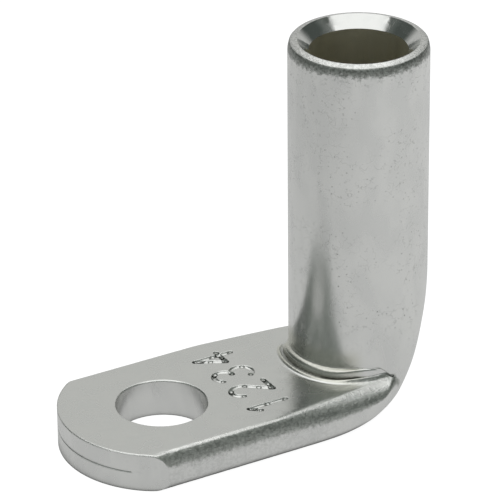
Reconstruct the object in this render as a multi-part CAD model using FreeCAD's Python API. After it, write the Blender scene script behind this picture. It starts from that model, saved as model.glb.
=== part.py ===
import FreeCAD, Part
import math
import os

# Cable lug for a 25 mm2 conductor and an M6 stud, in millimetres.
# One piece of copper tube: the lower end is pressed flat into the palm, and the tube
# is then folded upright against it. The frame's origin is the centre of the stud hole on
# the underside of the palm. The barrel stands at +X, and the palm's round end is at -X.

# Main sizes
overall_length = 28.6
height = 27.3
tube_diameter = 10.0
bore_diameter = 7.0
palm_thickness = 2.86
palm_width = 13.36
palm_end_radius = 7.4
stud_hole_diameter = 6.5

# Rolled edges along the palm, the chamfer of the hole and the seam in the cut end
top_round_in = 0.48
top_round_down = 1.15
bottom_round = 0.5
hole_chamfer = 0.08
seam_width = 0.06
seam_depth = 0.15

# Mouth of the barrel
mouth_chamfer = 0.82
rim_round_in = 0.2
rim_round_down = 0.95

# Bend: the back of the tube follows a superellipse from the palm up to the barrel
taper_length = 9.8
bend_length = 6.59
bend_height = 9.26
bend_squareness = 2.32
side_bulge = 0.963
collar_height = 1.4
bore_taper = 0.6

# Fold crease round the foot of the barrel. Each step along the fold gives how far the back
# of the bend has swung, then the distance out from the barrel and the rise above the palm,
# first where the fold is plain and then where the bending tool has raised its two ridges.
crease_steps = [
    (14, (1.30, 0.00), (1.35, 0.00)),
    (17, (0.95, 0.00), (1.10, 0.00)),
    (19, (0.75, 0.00), (0.95, 0.03)),
    (21, (0.58, 0.00), (0.80, 0.20)),
    (23, (0.43, 0.00), (0.66, 0.19)),
    (25, (0.30, 0.00), (0.56, -0.14)),
    (27, (0.18, 0.00), (0.46, -0.10)),
    (29, (0.08, 0.03), (0.46, 0.30)),
    (31, (0.01, 0.12), (0.40, 0.58)),
    (33, (0.00, 0.26), (0.20, 0.72)),
    (35, (0.00, 0.45), (0.00, 0.76)),
    (38, (0.00, 0.75), (0.00, 0.95)),
]
crease_far_end = 34
crease_far_fade = 8
crease_near_start = 30
crease_near_end = 82
crease_near_fade = 22
notch_share = 0.45
notch_rise = 0.48
crease_fan = 40

# Control net of the skin: columns run round the tube and rows run along it
columns = 48
column_step = 360 / columns
half = columns // 2
columns_to_edge = 10
columns_to_side = 14
columns_to_corner = 17
columns_to_bottom = 20
side_taper_angle = 51.6
round_out_angle = 67.9

tube_radius = tube_diameter / 2
bore_radius = bore_diameter / 2
wall = tube_radius - bore_radius
half_width = palm_width / 2
flat_half_width = half_width - top_round_in
barrel_distance = overall_length - palm_end_radius - tube_radius
taper_start = barrel_distance - taper_length
bend_start = barrel_distance - bend_length
barrel_foot = bend_height + collar_height
# A cubic periodic curve runs inside its poles, so poles on a circle stand further out
pole_radius = tube_radius * 6 / (4 + 2 * math.cos(math.radians(column_step)))
# Cutting tools reach past the metal by this much
clear = 1.0


def point(x, y, z):
    return FreeCAD.Vector(x, y, z)


def mix(a, b, share):
    return a + (b - a) * share


def ease(share):
    share = min(max(share, 0), 1)
    return share * share * (3 - 2 * share)


def outline_face(edges):
    return Part.Face(Part.Wire(Part.__sortEdges__(edges)))


def lines(corners):
    return [Part.makeLine(a, b) for a, b in zip(corners, corners[1:])]


def bend_point(angle):
    """Back of the bend at an angle from 0 at the palm to 90 at the barrel, as (x, z)."""
    power = 2 / bend_squareness
    turn = math.radians(angle)
    x = mix(bend_start, barrel_distance + pole_radius, math.sin(turn) ** power)
    z = bend_height * (1 - max(math.cos(turn), 0) ** power)
    return x, z


def rolled(share, inward, along):
    """Point on an edge rolled over to the side: how far in and how far along it lies."""
    radius = (inward ** 2 + along ** 2) / (2 * inward)
    turn = share * math.asin(along / radius)
    return radius * (1 - math.cos(turn)), along - radius * math.sin(turn)


def palm_outline(column):
    """Half width and depth below the top face of one column on the flat palm."""
    if column <= columns_to_edge:
        return flat_half_width * column / columns_to_edge, 0
    if column <= columns_to_side:
        share = (columns_to_side - column) / (columns_to_side - columns_to_edge)
        inward, depth = rolled(share, top_round_in, top_round_down)
        return half_width - inward, depth
    low_start = palm_thickness - bottom_round
    if column <= columns_to_corner:
        share = (column - columns_to_side) / (columns_to_corner - columns_to_side)
        return half_width, mix(top_round_down, low_start, share)
    if column <= columns_to_bottom:
        share = (column - columns_to_corner) / (columns_to_bottom - columns_to_corner)
        inward, rise = rolled(share, bottom_round, bottom_round)
        return half_width - inward, palm_thickness - rise
    share = (half - column) / (half - columns_to_bottom)
    return (half_width - bottom_round) * share, palm_thickness


def palm_row(x):
    """A straight row round the flat palm, from the middle of the top by the far side."""
    poles = []
    for column in range(columns):
        y, depth = palm_outline(min(column, columns - column))
        poles.append(point(x, y if column <= half else -y, palm_thickness - depth))
    return poles


def barrel_row(z):
    turns = [math.radians(column * column_step) for column in range(columns)]
    return [point(barrel_distance - pole_radius * math.cos(turn),
                  pole_radius * math.sin(turn), z) for turn in turns]


def front_pole(column, reach, plain, ridged, lifted):
    """Pole on the front of a bend row, between a straight line on the palm and the fold."""
    spread = 1 + 0.17 * ease(-column / columns_to_edge)
    turn = column * column_step * mix(spread, 1, lifted)
    strength = ease((crease_far_end - turn) / crease_far_fade)
    strength *= ease((crease_near_end + turn) / crease_near_fade)
    near = ease((-turn - crease_near_start) / (crease_near_end - crease_near_start))
    out = mix(plain[0], ridged[0], strength) * mix(1, notch_share, near)
    rise = mix(plain[1], ridged[1], strength)
    rise += notch_rise * near * (1 - lifted) * (1 - plain[0] / crease_steps[0][1][0])
    swing = math.radians(turn)
    fan = math.radians(crease_fan) * math.sin(2 * swing)
    x = barrel_distance - pole_radius * math.cos(swing) - out * math.cos(fan)
    y = pole_radius * math.sin(swing) + out * math.sin(fan)
    line_y = flat_half_width * column / columns_to_edge
    return point(mix(taper_start, x, reach), mix(line_y, y, reach), palm_thickness + rise)


def bend_row(angle, reach, plain, ridged):
    """One row of the bend. Its front stays at the crease while its back swings round."""
    back_x, back_z = bend_point(angle)
    lifted = ease(plain[1])
    roundness = ease(angle / round_out_angle) ** 3
    side = mix(half_width, tube_radius, ease(angle / side_taper_angle))
    bulge = side_bulge * (1 - ease(angle / side_taper_angle - 1))
    edge_cosine = math.cos(math.radians(columns_to_edge * column_step))

    poles = {column: front_pole(column, reach, plain, ridged, lifted)
             for column in range(-columns_to_edge, columns_to_edge + 1)}
    for way in (1, -1):
        edge = poles[way * columns_to_edge]
        for column in range(columns_to_edge + 1, half + (way == 1)):
            turn = math.radians(column * column_step)
            flat_y, depth = palm_outline(column)
            if column <= columns_to_side:
                share = (column - columns_to_edge) / (columns_to_side - columns_to_edge)
                flat_y = mix(abs(edge.y), side, math.sin(math.radians(90 * share)))
            else:
                flat_y += (side - half_width) * flat_y / half_width
            round_depth = (edge_cosine - math.cos(turn)) / (edge_cosine + 1)
            across = (column - columns_to_edge) / (columns_to_bottom - columns_to_edge)
            swell = math.sin(math.pi * min(across, 1)) ** 2
            round_y = pole_radius * math.sin(turn) + bulge * swell
            share = mix(depth / palm_thickness, round_depth, roundness)
            poles[way * column] = point(mix(edge.x, back_x, share),
                                        way * mix(flat_y, round_y, roundness),
                                        mix(edge.z, back_z, share))
    return [poles[column if column <= half else column - columns] for column in range(columns)]


def skin_rows():
    """Rows from the flat palm through the bend to the foot of the straight barrel."""
    rows = [palm_row(taper_start - back) for back in (2.1, 1.4, 0.7, 0)]
    first = crease_steps[0]
    for angle, reach in ((0, 0.3), (5, 0.55), (10, 0.77)):
        rows.append(bend_row(angle, reach, (first[1][0], 0), (first[2][0], 0)))
    for angle, plain, ridged in crease_steps:
        rows.append(bend_row(angle, 0.93 if angle == first[0] else 1, plain, ridged))
    last_angle, last_rise = crease_steps[-1][0], crease_steps[-1][1][1]
    for angle in (42, 47, 53, 60, 67, 74, 82, 90):
        share = (angle - last_angle) / (90 - last_angle)
        upright = (0, mix(last_rise, bend_height - palm_thickness, share ** 1.25))
        rows.append(bend_row(angle, 1, upright, upright))
    return rows + [barrel_row(mix(bend_height, barrel_foot, share)) for share in (0.5, 1)]


def skin():
    """The pressed and bent tube as one closed solid, from the palm to the barrel's foot."""
    # Column 0 moves off the flat top, so that no patch crosses it
    rows = [row[-columns_to_edge:] + row[:-columns_to_edge] for row in skin_rows()]
    spans = len(rows) - 3
    surface = Part.BSplineSurface()
    surface.buildFromPolesMultsKnots(
        rows, [4] + [1] * (spans - 1) + [4], [1] * (columns + 1),
        list(range(spans + 1)), list(range(columns + 1)), False, True, 3, 3)
    top = (0, 2 * columns_to_edge - 2)
    low = (columns_to_edge + columns_to_bottom, columns_to_edge + columns - columns_to_bottom - 2)
    flats = (top, low)
    sides = ((top[1], low[0]), (low[1], columns))
    flat_spans = 2

    def patch(first, last, across):
        part = surface.copy()
        part.segment(first, last, *across)
        return part.toShape()

    faces = [outline_face(patch(0, flat_spans, across).Edges) for across in flats]
    faces += [patch(0, flat_spans, across) for across in sides]
    faces += [patch(flat_spans, spans, across) for across in flats + sides]

    # The palm runs on straight to beyond its round end
    palm_start = taper_start - 2.1
    run = point(-palm_end_radius - clear - palm_start, 0, 0)
    for across in flats + sides:
        section = surface.copy()
        section.segment(0, flat_spans, *across)
        edge = section.uIso(0).toShape()
        strip = edge.extrude(run)
        faces.append(outline_face(strip.Edges) if across in flats else strip)
    shell = Part.makeCompound(faces)
    shell.sewShape()
    ends = [edge for edge in shell.Edges if len(shell.ancestorsOfType(edge, Part.Face)) == 1]
    low_end = [edge for edge in ends if edge.BoundBox.XMax < 0]
    high_end = [edge for edge in ends if edge.BoundBox.XMax > 0]
    closed = Part.makeCompound(shell.Faces + [outline_face(low_end), outline_face(high_end)])
    closed.sewShape()
    return Part.Solid(closed.Shells[0])


def straight_barrel():
    """Straight length of the tube with its rolled rim, still solid."""
    rim_start = height - rim_round_down
    roll_radius = (rim_round_in ** 2 + rim_round_down ** 2) / (2 * rim_round_in)
    turn = math.asin(rim_round_down / roll_radius)
    start, middle, end = [
        point(tube_radius - roll_radius * (1 - math.cos(share * turn)), 0,
              rim_start + roll_radius * math.sin(share * turn)) for share in (0, 0.5, 1)]
    corners = [end, point(0, 0, height), point(0, 0, barrel_foot),
               point(tube_radius, 0, barrel_foot), start]
    profile = outline_face([Part.Arc(start, middle, end).toShape()] + lines(corners))
    barrel = profile.revolve(point(0, 0, 0), point(0, 0, 1), 360)
    barrel.translate(point(barrel_distance, 0, 0))
    return barrel


def bore():
    """Space for the conductor. In the bend it narrows and the back wall closes it."""
    axis = point(barrel_distance, 0, 0)
    above = height + clear
    foot = axis + point(0, 0, bend_height)
    straight = Part.makeCylinder(bore_radius, above - bend_height, foot)
    narrow = Part.makeCone(bore_radius - bore_taper, bore_radius, bend_height, axis)
    back = []
    for angle in range(7, 90, 7):
        x, z = bend_point(angle)
        next_x, next_z = bend_point(angle + 0.5)
        along = math.hypot(next_x - x, next_z - z)
        back.append(point(x - wall * (next_z - z) / along, 0, z + wall * (next_x - x) / along))
    rise = Part.BSplineCurve()
    rise.interpolate(back)
    outside = barrel_distance + tube_diameter
    over = above + clear
    corners = [back[-1], point(outside, 0, back[-1].z), point(outside, 0, over),
               point(back[0].x, 0, over), back[0]]
    profile = outline_face([rise.toShape()] + lines(corners))
    profile.translate(point(0, -tube_radius, 0))
    inside = profile.extrude(point(0, tube_diameter, 0))
    chamfer_rise = mouth_chamfer + clear
    chamfer = Part.makeCone(bore_radius, bore_radius + chamfer_rise, chamfer_rise,
                            axis + point(0, 0, height - mouth_chamfer))
    return straight.fuse(narrow).common(inside).fuse(chamfer)


def stud_hole():
    """Punched hole through the palm, its two edges broken by a small chamfer."""
    radius = stud_hole_diameter / 2
    wide = radius + hole_chamfer + clear
    depth = hole_chamfer + clear
    through = Part.makeCylinder(radius, palm_thickness + 2 * clear, point(0, 0, -clear))
    low = Part.makeCone(wide, radius, depth, point(0, 0, -clear))
    high = Part.makeCone(radius, wide, depth, point(0, 0, palm_thickness - hole_chamfer))
    return through.fuse([low, high])


def palm_end():
    """What the shear takes off round the end of the palm, about the stud hole's centre."""
    depth = palm_thickness + 2 * clear
    side = palm_end_radius + 2 * clear
    block = Part.makeBox(side, 2 * side, depth, point(-side, -side, -clear))
    return block.cut(Part.makeCylinder(palm_end_radius, depth, point(0, 0, -clear)))


def seam():
    """Line on the cut end where the two flattened walls meet."""
    low = point(0, 0, (palm_thickness - seam_width) / 2)
    outer = Part.makeCylinder(palm_end_radius + clear, seam_width, low)
    inner = Part.makeCylinder(palm_end_radius - seam_depth, seam_width, low)
    reach = half_width - wall
    length = palm_end_radius + clear
    strip = Part.makeBox(length, 2 * reach, palm_thickness, point(-length, -reach, 0))
    return outer.cut(inner).common(strip)


def cable_lug():
    lug = skin().fuse(straight_barrel(), 1e-5)
    lug = lug.cut(palm_end())
    return lug.cut(bore()).cut(stud_hole()).cut(seam()).Solids[0]


lug = cable_lug()
box = lug.optimalBoundingBox()
print(lug.isValid(), "volume", round(lug.Volume, 1), "faces", len(lug.Faces))
print("size", round(box.XLength, 3), round(box.YLength, 3), round(box.ZLength, 3))
os.makedirs("parts", exist_ok=True)
lug.exportStep("parts/cable_lug.step")
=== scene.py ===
import math

import bmesh
import bpy
from mathutils import Matrix, Vector


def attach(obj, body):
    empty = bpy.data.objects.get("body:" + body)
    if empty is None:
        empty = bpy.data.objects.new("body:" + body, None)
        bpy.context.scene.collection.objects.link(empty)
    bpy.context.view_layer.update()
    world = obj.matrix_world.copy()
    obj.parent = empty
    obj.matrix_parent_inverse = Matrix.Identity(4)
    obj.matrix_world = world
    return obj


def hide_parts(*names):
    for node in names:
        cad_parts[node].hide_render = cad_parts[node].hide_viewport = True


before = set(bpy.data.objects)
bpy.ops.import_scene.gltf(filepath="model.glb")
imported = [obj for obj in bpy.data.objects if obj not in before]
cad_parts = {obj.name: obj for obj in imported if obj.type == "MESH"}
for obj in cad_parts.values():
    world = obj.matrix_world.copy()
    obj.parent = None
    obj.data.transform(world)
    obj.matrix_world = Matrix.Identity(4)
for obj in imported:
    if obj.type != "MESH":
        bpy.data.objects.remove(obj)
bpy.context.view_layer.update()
mm = 0.001
print("frame loaded")

camera = {
    "azimuth": -29.7635,        # degrees, 0 looks along +Y
    "elevation": 27.3014,
    "roll": -0.5376,
    "distance": 274.03,         # mm from the middle of the view
    "right": 6.2229,            # the view's middle in the picture plane, mm
    "up": 13.3404,
    "focalPixels": 3860.28,     # for a picture of the width below
    "pictureWidth": 500,
    "sensorWidth": 36,          # mm
    "clip": (0.01, 20),         # m
}


def aimCamera(values):
    azimuth, elevation, roll = (math.radians(values[k]) for k in ("azimuth", "elevation", "roll"))
    back = Vector((math.sin(azimuth) * math.cos(elevation),
                   -math.cos(azimuth) * math.cos(elevation), math.sin(elevation)))
    flatRight = (-back).cross(Vector((0, 0, 1))).normalized()
    flatUp = flatRight.cross(-back)
    right = math.cos(roll) * flatRight + math.sin(roll) * flatUp
    up = -math.sin(roll) * flatRight + math.cos(roll) * flatUp
    spot = back * values["distance"] + right * values["right"] + up * values["up"]
    data = bpy.data.cameras.new("camera")
    data.sensor_width = values["sensorWidth"]
    data.lens = values["focalPixels"] / values["pictureWidth"] * values["sensorWidth"]
    data.clip_start, data.clip_end = values["clip"]
    obj = bpy.data.objects.new("camera", data)
    bpy.context.scene.collection.objects.link(obj)
    turn = Matrix((right, up, back)).transposed().to_4x4()
    obj.matrix_world = Matrix.Translation(spot * mm) @ turn
    bpy.context.scene.camera = obj


aimCamera(camera)
print("camera placed")


def put(tree, kind, values=None, **settings):
    # adds a node, sets it up, and links or fills its inputs
    node = tree.nodes.new(kind)
    for name, value in settings.items():
        setattr(node, name, value)
    for name, value in (values or {}).items():
        if isinstance(value, bpy.types.NodeSocket):
            tree.links.new(value, node.inputs[name])
        else:
            node.inputs[name].default_value = value
    return node


def calc(tree, operation, *parts):
    # joins the parts by Math nodes, from the first to the last
    result = parts[0]
    for part in parts[1:]:
        result = put(tree, "ShaderNodeMath", {0: result, 1: part}, operation=operation).outputs[0]
    return result


def absolute(tree, value):
    return put(tree, "ShaderNodeMath", {0: value}, operation="ABSOLUTE").outputs[0]


def fade(tree, value, low, high, start=0, end=1):
    # goes smoothly from start to end between low and high, and low may be the larger one
    return put(tree, "ShaderNodeMapRange",
               {"Value": value, "From Min": low, "From Max": high, "To Min": start, "To Max": end},
               interpolation_type="SMOOTHSTEP").outputs["Result"]


def mixColours(tree, share, first, second):
    return put(tree, "ShaderNodeMix", {"Factor": share, "A": first, "B": second},
               data_type="RGBA").outputs["Result"]


def newGroup(name, inputs, outputs):
    group = bpy.data.node_groups.new(name, "ShaderNodeTree")
    for label, kind, value in inputs:
        socket = group.interface.new_socket(label, in_out="INPUT", socket_type=kind)
        if value is not None:
            socket.default_value = value
    for label in outputs:
        group.interface.new_socket(label, in_out="OUTPUT", socket_type="NodeSocketFloat")
    return group, put(group, "NodeGroupInput"), put(group, "NodeGroupOutput")


def makeMottle():
    # soft unevenness of drawn and plated tube: a height in mm and slow patches from 0 to 1
    group, given, result = newGroup("mottle", [
        ("Place", "NodeSocketVector", None),
        ("Grain Size", "NodeSocketFloat", 0.35),
        ("Grain Height", "NodeSocketFloat", 0.002),
        ("Patch Size", "NodeSocketFloat", 3.0)], ["Height", "Patches"])
    place = given.outputs["Place"]
    grainScale = calc(group, "DIVIDE", 1.0, given.outputs["Grain Size"])
    patchScale = calc(group, "DIVIDE", 1.0, given.outputs["Patch Size"])
    grain = put(group, "ShaderNodeTexNoise", {"Vector": place, "Scale": grainScale, "Detail": 3.0,
                                              "Roughness": 0.55})
    patches = put(group, "ShaderNodeTexNoise", {"Vector": place, "Scale": patchScale, "Detail": 2.0,
                                                "Distortion": 0.4})
    height = calc(group, "MULTIPLY", grain.outputs["Fac"], given.outputs["Grain Height"])
    group.links.new(height, result.inputs["Height"])
    group.links.new(fade(group, patches.outputs["Fac"], 0.32, 0.68), result.inputs["Patches"])
    return group


def makeHandlingMarks():
    # pits and short scratches, each from 0 to 1, gathered where the slow noise is high
    group, given, result = newGroup("handlingMarks", [
        ("Place", "NodeSocketVector", None),
        ("Pit Spacing", "NodeSocketFloat", 0.44),
        ("Pit Size", "NodeSocketFloat", 0.09),
        ("Amount", "NodeSocketFloat", 0.5)], ["Pits", "Scratches"])
    place = given.outputs["Place"]
    gather = put(group, "ShaderNodeTexNoise", {"Vector": place, "Scale": 0.28, "Detail": 1.0})
    amount = calc(group, "ADD", gather.outputs["Fac"], given.outputs["Amount"])
    gathered = fade(group, amount, 0.86, 1.04)

    pitScale = calc(group, "DIVIDE", 1.0, given.outputs["Pit Spacing"])
    cells = put(group, "ShaderNodeTexVoronoi", {"Vector": place, "Scale": pitScale})
    reach = calc(group, "MULTIPLY", given.outputs["Pit Size"], pitScale)
    spot = fade(group, cells.outputs["Distance"], 0, reach, 1, 0)
    group.links.new(calc(group, "MULTIPLY", spot, gathered), result.inputs["Pits"])

    # a scratch is an edge of a warped net, shown only where other noise is high
    warp = put(group, "ShaderNodeTexNoise", {"Vector": place, "Scale": 1.3, "Detail": 2.0})
    warped = put(group, "ShaderNodeVectorMath", {0: warp.outputs["Color"], 1: (1.4, 1.4, 1.4), 2: place},
                 operation="MULTIPLY_ADD")
    net = put(group, "ShaderNodeTexVoronoi", {"Vector": warped.outputs["Vector"], "Scale": 1.5},
              feature="DISTANCE_TO_EDGE")
    broken = put(group, "ShaderNodeTexNoise", {"Vector": place, "Scale": 1.9, "Detail": 1.0})
    scratch = calc(group, "MULTIPLY", fade(group, net.outputs["Distance"], 0.0, 0.045, 1, 0),
                   fade(group, broken.outputs["Fac"], 0.48, 0.56), gathered)
    group.links.new(scratch, result.inputs["Scratches"])
    return group


mottle = makeMottle()
handlingMarks = makeHandlingMarks()


def newMaterial(name):
    material = bpy.data.materials.new(name)
    material.use_nodes = True
    return material, material.node_tree, material.node_tree.nodes["Principled BSDF"]


def millimetres(tree):
    coords = put(tree, "ShaderNodeTexCoord")
    return put(tree, "ShaderNodeVectorMath", {0: coords.outputs["Object"], "Scale": 1000.0},
               operation="SCALE").outputs["Vector"]


def stretched(tree, place, scale):
    return put(tree, "ShaderNodeMapping", {"Vector": place, "Scale": scale}).outputs["Vector"]


def addBump(tree, shader, height, normal=None):
    bump = put(tree, "ShaderNodeBump", {"Height": height, "Distance": mm, "Strength": 1.0})
    if normal is not None:
        tree.links.new(normal, bump.inputs["Normal"])
    tree.links.new(bump.outputs["Normal"], shader.inputs["Normal"])


# Where each kind of skin lies. It comes in from the first number to the second.
# Along is X, across is Y either way, up is Z, in mm. Facing is 0 upright and 1 level.
skin = {
    "rolledFacing": (0.0, 0.20),
    "bentFacing": (0.98, 0.90),
    # where the rolled edges turn darker, in part a painted shade
    "darkFacing": (0.90, 0.70),
    "edgeUp": (1.1, 1.5),       # the palm's rolled edges
    "edgeTop": (3.3, 3.0),
    "edgeAcross": (4.2, 4.9),
    "rimUp": (25.9, 26.3),
    "rimTopFacing": (0.80, 0.92),
    "sideAcross": (0.85, 1.0),  # as a share of the edge's own mask
    "sideAlong": (13.0, 9.0),
    "sideEnd": (-3.25, -3.1),
    "sideFacing": (0.9, 0.6),
    "foldUp": (2.89, 3.0),
    "foldTop": (5.6, 4.4),
    "foldAlong": (14.2, 13.2),
    "shearAlong": (-2.6, -3.2),
    "shearTop": (2.84, 2.8),
    "barrelUp": (3.5, 8.0),     # what hands and tools touch
    "stampAcross": (5.2, 5.0),
    "stampAlong": (4.2, 4.4),
    "stampTop": (2.855, 2.80),
    "stampUp": (2.4, 2.5),
    "palmToRim": (20, 21),      # where values for the palm give way to those for the rim
}

tin = {
    "colour": (0.80, 0.805, 0.785, 1),
    "dullColour": (0.68, 0.69, 0.68, 1),    # in the slow patches
    "dullShare": 0.30,
    "roughness": (0.22, 0.28),              # bright and dull patches
    "patchSize": 1.5,
    "drawnOut": (1.0, 1.0, 0.45),           # the tube's grain is longer up the barrel
    # the rolled edges take these darker colours where they turn sideways: partly their coarse dull skin,
    # partly painted shade
    "rolledDullAndShadeColour": (0.50, 0.52, 0.49, 1),
    "rimDullAndShadeColour": (0.40, 0.42, 0.395, 1),
    "rolledRoughness": 0.34,
    "rolledHeight": 0.065,                  # coarse grain of the rolled edges, mm
    "raggedness": (0.26, 0.50),             # of the border of the rolled edges: palm, rim
    "specks": (0.42, 0.85),                 # strength of the dark specks on them: palm, rim
    "bentGrain": 0.7,                       # share of the coarse grain where they turn level
    "rimTop": 0.35,                         # share of it, and strength of specks, on top of the rim
    "sideGrain": 0.5,                       # share of it on the palm's upright sides
    "sideSpecks": 0.10,
    "foldGrain": 0.30,                      # share of it in the fold
    "foldColour": (0.70, 0.70, 0.64, 1),
    # painted shade in the fold and in the stamped grooves, where the skin is hollow
    "foldPaintedShade": 0.75,
    "stampPaintedShade": 0.32,
    "paintedShadeReach": 0.5,                      # how wide a hollow gets painted shade, mm
    "paintedShadeFrom": (0.92, 0.55),              # how open the skin is where the painted shade starts and is full
    "pitAndShadeColour": (0.20, 0.205, 0.19, 1),    # of pits, scratches and specks, and of the painted shade in hollows
    "pitDepth": 0.012,                      # mm
    "pitDirt": 0.50,
    "scratchDepth": 0.0015,
    "scratchDirt": 0.28,
    "shearHeight": 0.035,                   # drag marks down the sheared end, mm
    "shearScale": (2.6, 2.6, 0.35),
    "edgeRounding": (0.24, 0.10),           # at the sheared end and elsewhere, mm
    "endAlong": (-3.0, -2.0),               # where the one gives way to the other
}


def findSkins(tree, place, values, raggedness):
    # masks from 0 to 1 for the ways in which the skin was worked
    xyz = put(tree, "ShaderNodeSeparateXYZ", {"Vector": place})
    along, across, up = xyz.outputs["X"], absolute(tree, xyz.outputs["Y"]), xyz.outputs["Z"]
    normal = put(tree, "ShaderNodeNewGeometry").outputs["Normal"]
    facing = put(tree, "ShaderNodeSeparateXYZ", {"Vector": normal}).outputs["Z"]

    def within(value, name):
        return fade(tree, value, *values[name])

    # the rolled edges face part way up, and they lie along the palm and round the rim
    noise = put(tree, "ShaderNodeTexNoise", {"Vector": place, "Scale": 3.2, "Detail": 4.0,
                                             "Roughness": 0.65})
    ragged = calc(tree, "MULTIPLY", calc(tree, "SUBTRACT", noise.outputs["Fac"], 0.5),
                  fade(tree, up, *values["palmToRim"], *raggedness))
    edge = within(across, "edgeAcross")
    palmEdge = calc(tree, "MULTIPLY", within(up, "edgeUp"), within(up, "edgeTop"), edge)
    rim = within(up, "rimUp")
    bent = calc(tree, "MULTIPLY", within(calc(tree, "ADD", facing, ragged), "rolledFacing"),
                within(facing, "bentFacing"), calc(tree, "MAXIMUM", palmEdge, rim))
    return {
        "along": along,
        "up": up,
        "rim": rim,
        "bent": bent,
        # where the rolled edges turn sideways; it darkens them, in part as painted shade
        "rolled": calc(tree, "MULTIPLY", bent, within(facing, "darkFacing")),
        "rimTop": calc(tree, "MULTIPLY", rim, within(facing, "rimTopFacing")),
        "side": calc(tree, "MULTIPLY", within(along, "sideAlong"), within(edge, "sideAcross"),
                     within(along, "sideEnd"), within(facing, "sideFacing")),
        "fold": calc(tree, "MULTIPLY", within(up, "foldUp"), within(up, "foldTop"),
                     within(along, "foldAlong")),
        "sheared": calc(tree, "MULTIPLY", within(along, "shearAlong"), within(up, "shearTop")),
        "barrel": within(up, "barrelUp"),
        "stamped": calc(tree, "MULTIPLY", within(across, "stampAcross"), within(along, "stampAlong"),
                        within(up, "stampTop"), within(up, "stampUp")),
    }


def makeTin(values, skinValues):
    material, tree, shader = newMaterial("tinPlate")
    shader.inputs["Metallic"].default_value = 1
    place = millimetres(tree)
    skins = findSkins(tree, place, skinValues, values["raggedness"])
    base = put(tree, "ShaderNodeGroup", {"Place": stretched(tree, place, values["drawnOut"]),
                                         "Patch Size": values["patchSize"]}, node_tree=mottle)
    marks = put(tree, "ShaderNodeGroup", {"Place": place}, node_tree=handlingMarks)
    pits = calc(tree, "MULTIPLY", marks.outputs["Pits"], skins["barrel"])
    scratches = calc(tree, "MULTIPLY", marks.outputs["Scratches"], skins["barrel"])

    # rolling coarsens the edges, and the fold is pressed without a mandrel, so its skin stretches
    grit = put(tree, "ShaderNodeTexNoise", {"Vector": place, "Scale": 4.4, "Detail": 4.0, "Roughness": 0.7})
    gritty = calc(tree, "MAXIMUM", skins["rolled"],
                  calc(tree, "MULTIPLY", skins["bent"], values["bentGrain"]),
                  calc(tree, "MULTIPLY", skins["rimTop"], values["rimTop"]),
                  calc(tree, "MULTIPLY", skins["side"], values["sideGrain"]),
                  calc(tree, "MULTIPLY", skins["fold"], values["foldGrain"]))
    gritHeight = calc(tree, "MULTIPLY", grit.outputs["Fac"], values["rolledHeight"], gritty)

    # the shear drags lines down the round end of the palm
    drag = put(tree, "ShaderNodeTexNoise", {"Vector": stretched(tree, place, values["shearScale"]),
                                            "Scale": 1.0, "Detail": 4.0, "Roughness": 0.65})
    dragHeight = calc(tree, "MULTIPLY", drag.outputs["Fac"], values["shearHeight"], skins["sheared"])

    height = calc(tree, "ADD", base.outputs["Height"], gritHeight, dragHeight,
                  calc(tree, "MULTIPLY", pits, -values["pitDepth"]),
                  calc(tree, "MULTIPLY", scratches, -values["scratchDepth"]))
    atEnd, elsewhere = values["edgeRounding"]
    radius = fade(tree, skins["along"], *values["endAlong"], atEnd * mm, elsewhere * mm)
    rounded = put(tree, "ShaderNodeBevel", {"Radius": radius}, samples=8)
    addBump(tree, shader, height, rounded.outputs["Normal"])

    dull = calc(tree, "MULTIPLY", base.outputs["Patches"], values["dullShare"])
    colour = mixColours(tree, dull, values["colour"], values["dullColour"])
    colour = mixColours(tree, skins["fold"], colour, values["foldColour"])
    # the rolled edges are darker where they turn sideways: partly coarse dull skin, partly painted shade
    rolledDullAndShadeColour = mixColours(tree, skins["rim"], values["rolledDullAndShadeColour"], values["rimDullAndShadeColour"])
    colour = mixColours(tree, skins["rolled"], colour, rolledDullAndShadeColour)

    rolledSpecks = calc(tree, "MULTIPLY", skins["rolled"],
                        fade(tree, skins["up"], *skinValues["palmToRim"], *values["specks"]))
    levelSpecks = calc(tree, "MAXIMUM", calc(tree, "MULTIPLY", skins["side"], values["sideSpecks"]),
                       calc(tree, "MULTIPLY", skins["rimTop"], values["rimTop"]))
    specks = calc(tree, "MULTIPLY", fade(tree, grit.outputs["Fac"], 0.56, 0.42),
                  calc(tree, "ADD", levelSpecks, rolledSpecks))
    # painted shade: an occlusion test darkens the fold and the stamped grooves where they are hollow
    hollow = put(tree, "ShaderNodeAmbientOcclusion", {"Distance": values["paintedShadeReach"] * mm}, samples=12,
                 only_local=True)
    paintedShade = calc(tree, "MAXIMUM", calc(tree, "MULTIPLY", skins["fold"], values["foldPaintedShade"]),
                 calc(tree, "MULTIPLY", skins["stamped"], values["stampPaintedShade"]))
    paintedShade = calc(tree, "MULTIPLY", fade(tree, hollow.outputs["AO"], *values["paintedShadeFrom"]), paintedShade)
    dirtAndShade = calc(tree, "ADD", calc(tree, "MULTIPLY", pits, values["pitDirt"]),
                calc(tree, "MULTIPLY", scratches, values["scratchDirt"]))
    # the real pits, scratches and specks join the painted shade in one dark mix
    dirtAndShade = calc(tree, "MAXIMUM", dirtAndShade, paintedShade, specks)
    colour = mixColours(tree, dirtAndShade, colour, values["pitAndShadeColour"])
    tree.links.new(colour, shader.inputs["Base Color"])

    plain = fade(tree, base.outputs["Patches"], 0, 1, *values["roughness"])
    rough = put(tree, "ShaderNodeMix", {"Factor": skins["rolled"], "A": plain,
                                        "B": values["rolledRoughness"]}, data_type="FLOAT")
    tree.links.new(rough.outputs["Result"], shader.inputs["Roughness"])
    return material


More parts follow.
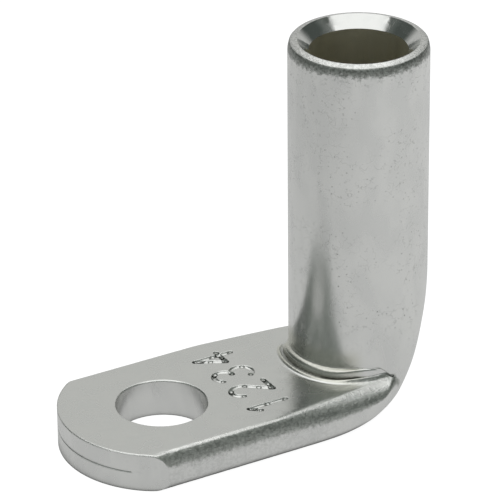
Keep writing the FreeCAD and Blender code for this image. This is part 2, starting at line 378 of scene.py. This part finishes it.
bore = {
    "colour": (0.85, 0.83, 0.72, 1),
    "shadeColour": (0.76, 0.74, 0.62, 1),   # in the slow patches
    "roughness": (0.42, 0.57),              # plain and scratched
    "marks": 0.4,
    "grainSize": 0.3,                       # this and the next two in mm
    "grainHeight": 0.004,
    "patchSize": 2.0,
    "drawnOut": (1.0, 1.0, 0.08),           # the mandrel leaves faint lines along the bore
}

lip = {
    "colour": (0.73, 0.735, 0.72, 1),
    "roughness": (0.09, 0.18),
    "grainSize": 0.25,
    "grainHeight": 0.003,
    "patchSize": 0.8,
}


def putMottle(tree, place, values):
    return put(tree, "ShaderNodeGroup", {"Place": place, "Grain Size": values["grainSize"],
                                         "Grain Height": values["grainHeight"],
                                         "Patch Size": values["patchSize"]}, node_tree=mottle)


def makeBoreSkin(values):
    material, tree, shader = newMaterial("boreSkin")
    shader.inputs["Metallic"].default_value = 1
    place = millimetres(tree)
    base = putMottle(tree, stretched(tree, place, values["drawnOut"]), values)
    marks = put(tree, "ShaderNodeGroup", {"Place": place, "Amount": values["marks"]},
                node_tree=handlingMarks)
    tree.links.new(mixColours(tree, base.outputs["Patches"], values["colour"], values["shadeColour"]),
                   shader.inputs["Base Color"])
    tree.links.new(fade(tree, marks.outputs["Scratches"], 0, 1, *values["roughness"]),
                   shader.inputs["Roughness"])
    addBump(tree, shader, base.outputs["Height"])
    return material


def makeCutLip(values):
    # the turned chamfer in the mouth is smoother than the drawn tube
    material, tree, shader = newMaterial("cutLip")
    shader.inputs["Metallic"].default_value = 1
    shader.inputs["Base Color"].default_value = values["colour"]
    base = putMottle(tree, millimetres(tree), values)
    tree.links.new(fade(tree, base.outputs["Patches"], 0, 1, *values["roughness"]),
                   shader.inputs["Roughness"])
    addBump(tree, shader, base.outputs["Height"])
    return material


tinPlate, boreSkin, cutLip = makeTin(tin, skin), makeBoreSkin(bore), makeCutLip(lip)
print("tin and bore finishes made")

stamp = {
    "digits": "1234",
    "foot": (7.85, -4.85),      # where the first digit's lower left corner is, mm
    "height": 2.95,             # along the palm
    "width": 1.65,              # across the palm
    "step": 2.55,
    "middle": 2.98,             # height of the punch's middle, a little above the palm's top face
    "grooveWidth": 0.48,
    "grooveDepth": 0.26,        # below that middle
    "dotSize": 0.22,
    "dotDepth": 0.299,
    "dotsPerStroke": 3,
    "arcSteps": 16,
}

# each digit's strokes: straight runs as points, or (middle, radii, from angle, to angle)
strokes = {
    "1": [[(0.22, 0.78), (0.55, 1.0)], [(0.55, 1.0), (0.55, 0.0)]],
    "2": [((0.5, 0.72), (0.42, 0.28), 165, -38), [(0.83, 0.55), (0.06, 0.0)], [(0.06, 0.0), (0.94, 0.0)]],
    "3": [((0.46, 0.75), (0.42, 0.25), 150, -85), ((0.46, 0.26), (0.46, 0.26), 85, -150)],
    "4": [[(0.70, 0.0), (0.70, 1.0)], [(0.70, 1.0), (0.04, 0.32)], [(0.04, 0.32), (0.98, 0.32)]],
}


def strokePoints(stroke, steps):
    if isinstance(stroke, list):
        return stroke
    (middleX, middleY), (radiusX, radiusY), start, end = stroke
    turns = [math.radians(start + (end - start) * i / steps) for i in range(steps + 1)]
    return [(middleX + radiusX * math.cos(turn), middleY + radiusY * math.sin(turn)) for turn in turns]


def drawStrokes(values):
    # the row reads from -Y to +Y, with the digits' tops towards the stud hole
    data = bpy.data.curves.new("digitStrokes", "CURVE")
    data.dimensions = "3D"
    for place, digit in enumerate(values["digits"]):
        for stroke in strokes[digit]:
            points = strokePoints(stroke, values["arcSteps"])
            spline = data.splines.new("POLY")
            spline.points.add(len(points) - 1)
            for point, (across, up) in zip(spline.points, points):
                x = values["foot"][0] - up * values["height"]
                y = values["foot"][1] + place * values["step"] + across * values["width"]
                point.co = (x * mm, y * mm, values["middle"] * mm, 1)
    obj = bpy.data.objects.new("digitStrokes", data)
    bpy.context.scene.collection.objects.link(obj)
    return obj


def makePunchTree(material):
    # sweeps a rounded punch along each stroke and sets dots along it
    tree = bpy.data.node_groups.new("punchedStrokes", "GeometryNodeTree")
    face = tree.interface
    face.new_socket("Strokes", in_out="INPUT", socket_type="NodeSocketGeometry")
    for label in ("Groove Width", "Groove Depth", "Dot Size", "Dot Depth"):
        face.new_socket(label, in_out="INPUT", socket_type="NodeSocketFloat")
    face.new_socket("Dots Per Stroke", in_out="INPUT", socket_type="NodeSocketInt")
    face.new_socket("Punch", in_out="OUTPUT", socket_type="NodeSocketGeometry")
    given, result = put(tree, "NodeGroupInput"), put(tree, "NodeGroupOutput")

    # a circle one unit across becomes an oval as wide as the groove and twice as high as it is deep
    upright = put(tree, "GeometryNodeSetCurveNormal", {"Curve": given.outputs["Strokes"]}, mode="Z_UP")
    circle = put(tree, "GeometryNodeCurvePrimitiveCircle", {"Resolution": 20, "Radius": 0.5})
    oval = put(tree, "ShaderNodeCombineXYZ", {"X": given.outputs["Groove Width"],
                                              "Y": calc(tree, "MULTIPLY", given.outputs["Groove Depth"], 2.0),
                                              "Z": 1.0})
    profile = put(tree, "GeometryNodeTransform", {"Geometry": circle.outputs["Curve"],
                                                  "Scale": oval.outputs["Vector"]})
    sweep = put(tree, "GeometryNodeCurveToMesh", {"Curve": upright.outputs["Curve"],
                                                  "Profile Curve": profile.outputs["Geometry"],
                                                  "Fill Caps": True})

    ends = put(tree, "GeometryNodeResampleCurve", {"Curve": given.outputs["Strokes"],
                                                   "Count": given.outputs["Dots Per Stroke"]})
    ends = put(tree, "GeometryNodeCurveToPoints", {"Curve": ends.outputs["Curve"]}, mode="EVALUATED")
    dot = put(tree, "GeometryNodeMeshIcoSphere", {"Radius": 1.0, "Subdivisions": 3})
    scale = put(tree, "ShaderNodeCombineXYZ", {"X": given.outputs["Dot Size"], "Y": given.outputs["Dot Size"],
                                               "Z": given.outputs["Dot Depth"]})
    dots = put(tree, "GeometryNodeInstanceOnPoints", {"Points": ends.outputs["Points"],
                                                      "Instance": dot.outputs["Mesh"],
                                                      "Scale": scale.outputs["Vector"]})
    joined = put(tree, "GeometryNodeJoinGeometry")
    tree.links.new(dots.outputs["Instances"], joined.inputs["Geometry"])
    tree.links.new(sweep.outputs["Mesh"], joined.inputs["Geometry"])
    real = put(tree, "GeometryNodeRealizeInstances", {"Geometry": joined.outputs["Geometry"]})
    finished = put(tree, "GeometryNodeSetMaterial", {"Geometry": real.outputs["Geometry"],
                                                     "Material": material})
    tree.links.new(finished.outputs["Geometry"], result.inputs["Punch"])
    return tree


def plainMesh(obj, name):
    # the object's mesh with its modifiers applied
    graph = bpy.context.evaluated_depsgraph_get()
    graph.update()
    mesh = bpy.data.meshes.new_from_object(obj.evaluated_get(graph), preserve_all_data_layers=True,
                                           depsgraph=graph)
    mesh.name = name
    return mesh


def makePunch(values):
    drawn = drawStrokes(values)
    holder = drawn.modifiers.new("punch", "NODES")
    holder.node_group = makePunchTree(tinPlate)
    wanted = {"Groove Width": values["grooveWidth"] * mm, "Groove Depth": values["grooveDepth"] * mm,
              "Dot Size": values["dotSize"] * mm, "Dot Depth": values["dotDepth"] * mm,
              "Dots Per Stroke": values["dotsPerStroke"]}
    for item in holder.node_group.interface.items_tree:
        if item.in_out == "INPUT" and item.name in wanted:
            holder[item.identifier] = wanted[item.name]
    mesh = plainMesh(drawn, "punch")
    bpy.data.objects.remove(drawn)
    punch = bpy.data.objects.new("punch", mesh)
    bpy.context.scene.collection.objects.link(punch)
    return punch


lug = {
    "barrelX": 16.2,
    "chamfer": ((3.5, 26.48), (4.32, 27.3)),    # radius and height of its foot and its head
    "boreFloor": 3.0,           # the bore is all above this
    "rimDrop": 0.13,            # the rim's outer edge stands this much lower than its inner edge
    "rimOuter": 4.7,            # radius past which it is lowered
    "sharpAngle": 38,
    "flats": (0.0, 2.86),       # heights of the palm's two faces
    "rounds": ((16.2, 5.0), (16.2, 3.5), (0.0, 3.25), (0.0, 7.4)),      # middle along X, radius
    "offFlat": 0.002,           # how far a corner may lie off the shape that shades it, mm
    "offRound": 0.003,
    "offCone": 0.006,
    "pastCone": 0.03,           # how far past the chamfer's edges, as a share of its width
    "coneFacing": (0.1, 0.9),   # how far up the chamfer's faces face, and at most those of a round
    "roundFacing": 0.02,
    "slack": 0.01,              # for telling by place what a face belongs to, mm
    "rimFacing": 0.95,          # what faces up more than this in the mouth is the rim
    "boreFacing": 0.3,          # what faces up more than this in the bore is its tapered end
}


def fromAxis(spot, middle):
    return math.hypot(spot.x - middle, spot.y)


def dropRim(mesh, values):
    top = values["chamfer"][1][1]
    work = bmesh.new()
    work.from_mesh(mesh)
    bmesh.ops.remove_doubles(work, verts=work.verts, dist=2e-7)
    for vert in work.verts:
        spot = vert.co / mm
        if spot.z > top - values["slack"] and fromAxis(spot, values["barrelX"]) > values["rimOuter"]:
            vert.co.z -= values["rimDrop"] * mm
    work.to_mesh(mesh)
    work.free()


def cutDigits(body, punch):
    cut = body.modifiers.new("punchedDigits", "BOOLEAN")
    cut.operation = "DIFFERENCE"
    cut.solver = "EXACT"
    cut.use_self = True
    cut.object = punch
    mesh = plainMesh(body, "lugBody")
    body.modifiers.clear()
    body.data = mesh
    bpy.data.objects.remove(punch)


def giveMaterials(mesh, values):
    (boreRadius, lipFoot), (lipRadius, _) = values["chamfer"]
    slack = values["slack"]
    mesh.materials.clear()
    for material in (tinPlate, boreSkin, cutLip):
        mesh.materials.append(material)
    for face in mesh.polygons:
        spot = face.center / mm
        radius = fromAxis(spot, values["barrelX"])
        inward = face.normal.x * (spot.x - values["barrelX"]) + face.normal.y * spot.y < 0
        onLip = spot.z > lipFoot and radius < lipRadius + slack and face.normal.z < values["rimFacing"]
        inBore = radius < boreRadius + 2 * slack and values["boreFloor"] < spot.z < lipFoot + slack
        face.material_index = 0
        if onLip:
            face.material_index = 2
        elif inBore and (inward or face.normal.z > values["boreFacing"]):
            face.material_index = 1


def markSharp(mesh, values):
    work = bmesh.new()
    work.from_mesh(mesh)
    for face in work.faces:
        face.smooth = True
    for edge in work.edges:
        edge.smooth = edge.calc_face_angle(math.pi) < math.radians(values["sharpAngle"])
    work.to_mesh(mesh)
    work.free()


def coneNormals(spots, values):
    # where a face lies on the chamfer in the mouth, its corners' true normals
    (footRadius, footHeight), (headRadius, headHeight) = values["chamfer"]
    out, up = headRadius - footRadius, headHeight - footHeight
    normals = []
    for spot in spots:
        arm = Vector((spot.x - values["barrelX"], spot.y, 0))
        share = (arm.length - footRadius) / out
        past = max(-share, share - 1)
        if past > values["pastCone"] or abs(spot.z - footHeight - share * up) > values["offCone"]:
            return None
        arm.normalize()
        normals.append((Vector((0, 0, out)) - arm * up).normalized())
    return normals


def trueNormals(mesh, values):
    # flats and rounds are shaded by their own exact shape, whatever triangles they have
    normals = [Vector(item.vector) for item in mesh.corner_normals]
    for face in mesh.polygons:
        spots = [mesh.vertices[i].co / mm for i in face.vertices]
        flat = any(all(abs(spot.z - level) < values["offFlat"] for spot in spots)
                   for level in values["flats"])
        low, high = values["coneFacing"]
        cone = coneNormals(spots, values) if low < abs(face.normal.z) < high else None
        if flat:
            for loop in face.loop_indices:
                normals[loop] = Vector((0, 0, math.copysign(1, face.normal.z)))
        elif cone:
            for loop, normal in zip(face.loop_indices, cone):
                normals[loop] = normal
        elif abs(face.normal.z) <= values["roundFacing"]:
            for middle, radius in values["rounds"]:
                arms = [Vector((spot.x - middle, spot.y, 0)) for spot in spots]
                if all(abs(arm.length - radius) < values["offRound"] for arm in arms):
                    way = math.copysign(1, face.normal.dot(arms[0] + arms[1] + arms[2]))
                    for loop, arm in zip(face.loop_indices, arms):
                        normals[loop] = arm.normalized() * way
    mesh.normals_split_custom_set(normals)


def makeLugBody(values, node, punch):
    mesh = node.data.copy()
    mesh.name = "lugBody"
    dropRim(mesh, values)
    mesh.materials.clear()
    mesh.materials.append(tinPlate)
    body = bpy.data.objects.new("lugBody", mesh)
    bpy.context.scene.collection.objects.link(body)
    cutDigits(body, punch)
    giveMaterials(body.data, values)
    markSharp(body.data, values)
    even = body.modifiers.new("evenShading", "WEIGHTED_NORMAL")
    even.keep_sharp = True
    even.weight = 100
    shaded = plainMesh(body, "lugBody")
    body.modifiers.clear()
    trueNormals(shaded, values)
    body.data = shaded
    return body


lugBody = makeLugBody(lug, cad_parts["cable_lug"], makePunch(stamp))
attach(lugBody, "root")
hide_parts("cable_lug")
print("lug body cut and finished:", len(lugBody.data.polygons), "faces")

stage = {
    "floorColour": (0.24, 0.24, 0.24, 1),
    "floorSize": 3.0,           # m
    "floorHeight": -2e-5,       # just under the palm
    "floorWhite": 0.95,         # added for the camera, so that the floor shows white
    "floorMirrored": (0.395, 0.505),        # added in reflections, on the left and on the right
    "leftToRight": (-0.05, 0.06),           # where the one gives way to the other, m
    "contactReach": 0.0008,     # how far out the painted contact shadow darkens the floor in reflections, m
    "contactOpen": (0.25, 0.95),            # how open the floor is where it is darkest and plain
    "contactDark": 0.1,
    "wall": (0.55, 0.555, 0.54, 1),         # pale wall behind the object
    "sides": (0.075, 0.086, 0.079, 1),      # unlit sides of the room
    "sidesFrom": (0.1, 0.55),
    "sidesWeight": 1.5,
    "front": (0.190, 0.210, 0.196, 1),      # unlit room behind the camera
    "frontFrom": (-0.20, 0.10),
    "ceiling": (0.10, 0.11, 0.10, 1),
    "ceilingFrom": (0.66, 0.80),
    "towardCamera": (-0.496, -0.868, 0.0),
    "toTheRight": (0.868, -0.496, 0.0),
    "lampSize": (0.88, 0.98),   # across and deep, m
    "lampPlace": (0.0, -0.04, 0.62),        # right, toward the camera, up
    "lampRadiance": 1.08,
}


def partAlong(tree, vector, way):
    return put(tree, "ShaderNodeVectorMath", {0: vector, 1: way}, operation="DOT_PRODUCT").outputs["Value"]


def makeFloor(values):
    half, height = values["floorSize"] / 2, values["floorHeight"]
    mesh = bpy.data.meshes.new("floor")
    corners = [(-half, -half, height), (half, -half, height), (half, half, height), (-half, half, height)]
    mesh.from_pydata(corners, [], [(0, 1, 2, 3)])
    obj = bpy.data.objects.new("floor", mesh)
    bpy.context.scene.collection.objects.link(obj)
    material, tree, shader = newMaterial("paleFloor")
    shader.inputs["Base Color"].default_value = values["floorColour"]
    shader.inputs["Roughness"].default_value = 0.9
    shader.inputs["Specular IOR Level"].default_value = 0.0
    shader.inputs["Emission Color"].default_value = (1, 1, 1, 1)
    path = put(tree, "ShaderNodeLightPath")
    seen = calc(tree, "MULTIPLY", path.outputs["Is Camera Ray"], values["floorWhite"])
    across = partAlong(tree, put(tree, "ShaderNodeTexCoord").outputs["Object"], values["toTheRight"])
    # a painted contact shadow: the floor's added glow in reflections is darker where the object stands close
    # over it
    near = put(tree, "ShaderNodeAmbientOcclusion", {"Distance": values["contactReach"]}, samples=12)
    mirrored = calc(tree, "MULTIPLY", path.outputs["Is Glossy Ray"],
                    fade(tree, across, *values["leftToRight"], *values["floorMirrored"]),
                    fade(tree, near.outputs["AO"], *values["contactOpen"], values["contactDark"], 1))
    tree.links.new(calc(tree, "ADD", seen, mirrored), shader.inputs["Emission Strength"])
    mesh.materials.append(material)


def makeWorld(values):
    world = bpy.data.worlds.new("studio")
    bpy.context.scene.world = world
    world.use_nodes = True
    tree = world.node_tree
    way = put(tree, "ShaderNodeTexCoord").outputs["Generated"]
    front = partAlong(tree, way, values["towardCamera"])
    side = absolute(tree, partAlong(tree, way, values["toTheRight"]))
    up = put(tree, "ShaderNodeSeparateXYZ", {"Vector": way}).outputs["Z"]
    unlit = calc(tree, "ADD", front, calc(tree, "MULTIPLY", side, values["sidesWeight"]))
    seen = put(tree, "ShaderNodeLightPath").outputs["Is Camera Ray"]
    light = mixColours(tree, fade(tree, unlit, *values["sidesFrom"]), values["wall"], values["sides"])
    light = mixColours(tree, fade(tree, front, *values["frontFrom"]), light, values["front"])
    light = mixColours(tree, fade(tree, up, *values["ceilingFrom"]), light, values["ceiling"])
    light = mixColours(tree, seen, light, (1, 1, 1, 1))
    tree.links.new(light, tree.nodes["Background"].inputs["Color"])


def addLamp(values):
    across, deep = values["lampSize"]
    data = bpy.data.lights.new("softbox", "AREA")
    data.shape = "RECTANGLE"
    data.size, data.size_y = across, deep
    data.energy = values["lampRadiance"] * math.pi * across * deep
    obj = bpy.data.objects.new("softbox", data)
    bpy.context.scene.collection.objects.link(obj)
    right, front, up = Vector(values["toTheRight"]), Vector(values["towardCamera"]), Vector((0, 0, 1))
    rightWay, frontWay, upWay = values["lampPlace"]
    obj.location = right * rightWay + front * frontWay + up * upWay
    obj.rotation_euler = (0, 0, math.atan2(right.y, right.x))


makeFloor(stage)
makeWorld(stage)
addLamp(stage)
print("stage lit")

bpy.context.scene.view_settings.view_transform = "Standard"
